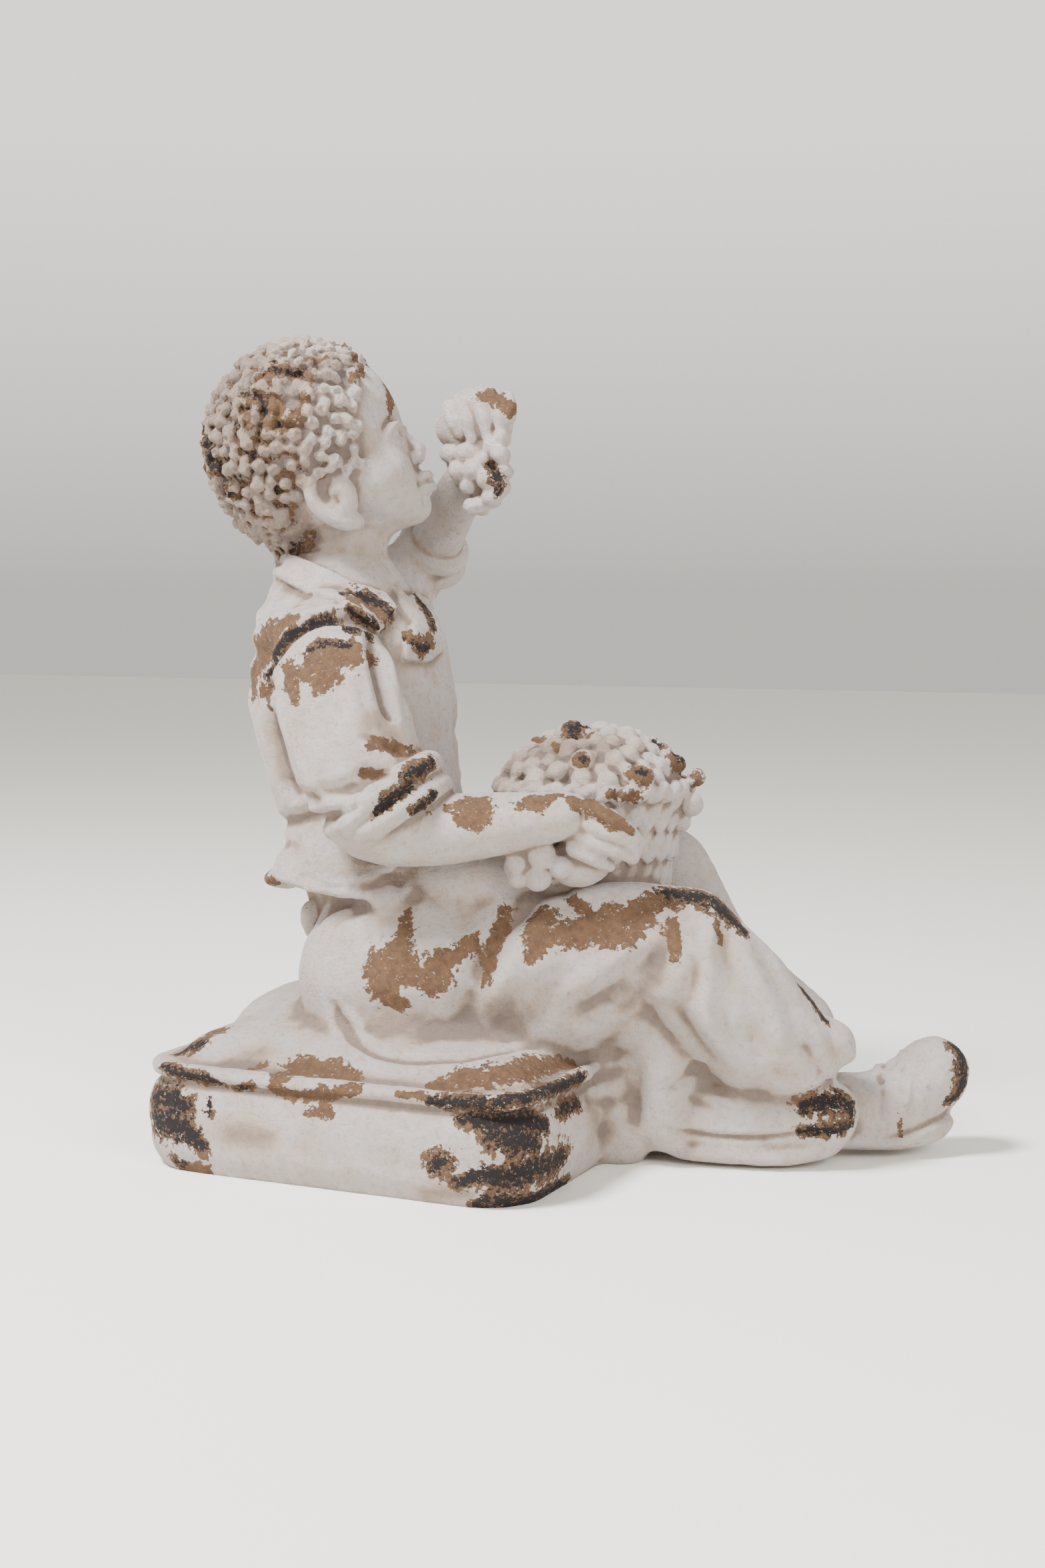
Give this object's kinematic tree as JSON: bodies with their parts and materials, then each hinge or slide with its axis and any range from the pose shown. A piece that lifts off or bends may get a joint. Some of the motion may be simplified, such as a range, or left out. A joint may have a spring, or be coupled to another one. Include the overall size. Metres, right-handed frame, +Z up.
{
  "type": "boy garden statue",
  "caption": "Cast garden statue of a seated boy on a square cushion, a basket of grapes in his lap and a bunch of grapes raised in one hand.",
  "frame": {"origin": "centre of the cushion's flat underside", "axes": "+Z up; +X to the cushion's front, where the boy's feet are; +Y to his left"},
  "size_m": [0.5243, 0.3298, 0.5675],
  "materials": {
    "painted_cast": "matt white paint worn through to tan and dark brown on a fibre-reinforced cement cast"
  },
  "bodies": {
    "root": {"boy_statue": "painted_cast"}
  },
  "joints": []
}
